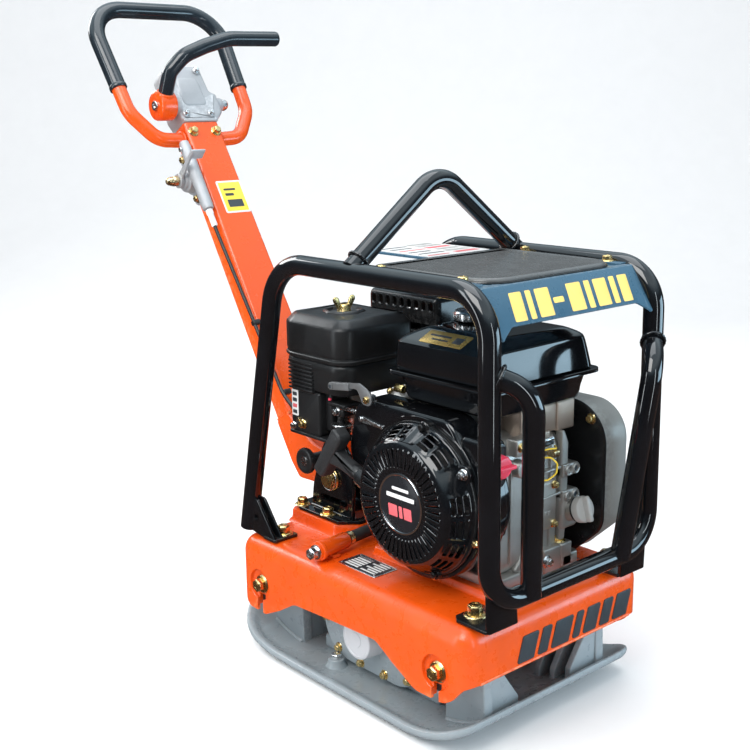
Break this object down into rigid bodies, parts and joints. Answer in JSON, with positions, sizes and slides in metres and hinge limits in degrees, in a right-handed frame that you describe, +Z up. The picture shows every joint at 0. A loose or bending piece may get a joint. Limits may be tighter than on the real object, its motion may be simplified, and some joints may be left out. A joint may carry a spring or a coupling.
{
  "type": "plate compactor",
  "caption": "Walk-behind reversible vibratory plate compactor: petrol engine on a rubber-mounted hood in a tube guard frame, folding handle column with loop grip.",
  "frame": {"origin": "centre of the base plate's flat footprint, on the ground", "axes": "+Z up, X across the machine with the belt cover on +X and the recoil starter on -X, -Y the front, +Y the operator's side"},
  "size_m": [0.35, 0.9638, 0.9315],
  "materials": {
    "orange_paint": "gloss enamel",
    "black_paint": "gloss enamel",
    "cover_paint": "satin enamel",
    "grey_paint": "satin enamel on cast iron",
    "raw_aluminium": "as cast",
    "cast_iron": "machined",
    "steel": "machined",
    "gold_zinc": "yellow zinc plate",
    "brass": "satin",
    "black_plastic": "satin",
    "rubber": "matt",
    "silver_paint": "matt silver",
    "red_plastic": "gloss",
    "filter_foam": "open foam"
  },
  "bodies": {
    "plate": {"base_plate": "grey_paint", "exciter_case": "grey_paint", "exciter_cover_left": "grey_paint", "exciter_cover_right": "grey_paint", "exciter_bearing_front_left": "steel", "exciter_bearing_rear_left": "steel", "exciter_bearing_front_right": "steel", "exciter_bearing_rear_right": "steel", "rubber_mount_front_left": "rubber", "rubber_mount_front_right": "rubber", "rubber_mount_rear_left": "rubber", "rubber_mount_rear_right": "rubber"},
    "upper": {"main_body": "orange_paint", "belt_cover": "silver_paint", "belt_cover_back": "black_paint", "drive_belt": "rubber", "engine_crankcase": "raw_aluminium", "crankcase_side_cover": "raw_aluminium", "cylinder_head": "raw_aluminium", "piston": "raw_aluminium", "connecting_rod": "steel", "fan_shroud": "black_paint", "recoil_cover": "black_paint", "fuel_tank": "black_paint", "air_cleaner_cover": "black_plastic", "air_cleaner_base": "black_plastic", "filter_element": "filter_foam", "carburettor": "raw_aluminium", "carburettor_cover": "black_plastic", "muffler": "black_paint", "muffler_guard": "black_paint", "drain_hose": "orange_paint", "guard_frame": "black_paint", "top_cover": "cover_paint", "handle_stand": "black_paint", "pivot_bolt": "gold_zinc"},
    "crank": {"crankshaft": "steel", "flywheel_fan": "cast_iron", "clutch_drum": "cast_iron"},
    "exciter_front": {"eccentric_shaft_front": "steel", "exciter_pulley": "cast_iron"},
    "exciter_rear": {"eccentric_shaft_rear": "steel"},
    "handle": {"handle_column": "orange_paint", "handle_loop": "orange_paint", "control_head": "raw_aluminium", "throttle_housing": "raw_aluminium", "throttle_nut": "brass", "throttle_cable": "black_plastic"},
    "travel_control": {"lever_hub": "orange_paint", "travel_lever": "black_plastic"},
    "throttle": {"throttle_lever": "raw_aluminium"},
    "lock": {"lock_knob": "black_plastic"},
    "recoil": {"recoil_pulley": "black_plastic"},
    "grip": {"starter_grip": "black_plastic"},
    "speed_control": {"engine_control_lever": "steel"},
    "cap": {"fuel_cap": "raw_aluminium"},
    "wing": {"wing_nut": "brass"},
    "switch": {"engine_switch": "red_plastic"},
    "oil_cap": {"oil_filler_cap": "black_plastic"}
  },
  "joints": [
    {"name": "suspension", "type": "slide", "parent": "plate", "child": "upper", "axis": [0, 0, 1], "range_m": [-0.004, 0.004], "stiffness_N_per_m": 250000, "springref_m": 0.0022, "deforming": ["rubber_mount_front_left", "rubber_mount_front_right", "rubber_mount_rear_left", "rubber_mount_rear_right", "drive_belt"]},
    {"name": "crank_spin", "type": "hinge", "parent": "upper", "child": "crank", "pos_m": [0, -0.087, 0.286], "axis": [1, 0, 0], "continuous": true},
    {"name": "exciter_front_spin", "type": "hinge", "parent": "plate", "child": "exciter_front", "pos_m": [0, -0.045, 0.072], "axis": [1, 0, 0], "continuous": true},
    {"name": "exciter_rear_spin", "type": "hinge", "parent": "plate", "child": "exciter_rear", "pos_m": [0, 0.045, 0.072], "axis": [1, 0, 0], "continuous": true},
    {"name": "handle_pivot", "type": "hinge", "parent": "upper", "child": "handle", "pos_m": [0, 0.152, 0.243], "axis": [1, 0, 0], "range_deg": [-12, 30]},
    {"name": "travel_lever", "type": "hinge", "parent": "handle", "child": "travel_control", "pos_m": [-0.0545, 0.55814, 0.76747], "axis": [1, 0, 0], "range_deg": [-25, 25]},
    {"name": "throttle_lever", "type": "hinge", "parent": "handle", "child": "throttle", "pos_m": [-0.063, 0.50759, 0.65166], "axis": [1, 0, 0], "range_deg": [-15, 45]},
    {"name": "lock_knob", "type": "slide", "parent": "upper", "child": "lock", "axis": [-1, 0, 0], "range_m": [0, 0.01]},
    {"name": "starter_pull", "type": "slide", "parent": "upper", "child": "grip", "axis": [0, 0.9496, 0.3134], "range_m": [0, 0.038]},
    {"name": "recoil_spin", "type": "hinge", "parent": "upper", "child": "recoil", "pos_m": [-0.13, -0.087, 0.286], "axis": [1, 0, 0], "range_deg": [0, 49.5]},
    {"name": "engine_control", "type": "hinge", "parent": "upper", "child": "speed_control", "pos_m": [-0.115, 0, 0.398], "axis": [1, 0, 0], "range_deg": [-20, 25]},
    {"name": "fuel_cap_turn", "type": "hinge", "parent": "upper", "child": "cap", "pos_m": [0.016, -0.06, 0.5], "axis": [0, 0, 1], "range_deg": [0, 90]},
    {"name": "wing_nut_turn", "type": "hinge", "parent": "upper", "child": "wing", "pos_m": [-0.045, 0.128, 0.493], "axis": [0, 0, 1], "continuous": true},
    {"name": "switch_turn", "type": "hinge", "parent": "upper", "child": "switch", "pos_m": [-0.086, -0.206, 0.349], "axis": [0, -1, 0], "range_deg": [0, 60]},
    {"name": "oil_cap_turn", "type": "hinge", "parent": "upper", "child": "oil_cap", "pos_m": [0.069, -0.215, 0.262], "axis": [0, -0.96, 0.28], "continuous": true}
  ],
  "couplings": [
    {"joint": "exciter_front_spin", "follows": "crank_spin", "ratio": 1.6},
    {"joint": "exciter_rear_spin", "follows": "crank_spin", "ratio": -1.6},
    {"joint": "recoil_spin", "follows": "starter_pull", "rad_per_m": 22.7}
  ]
}
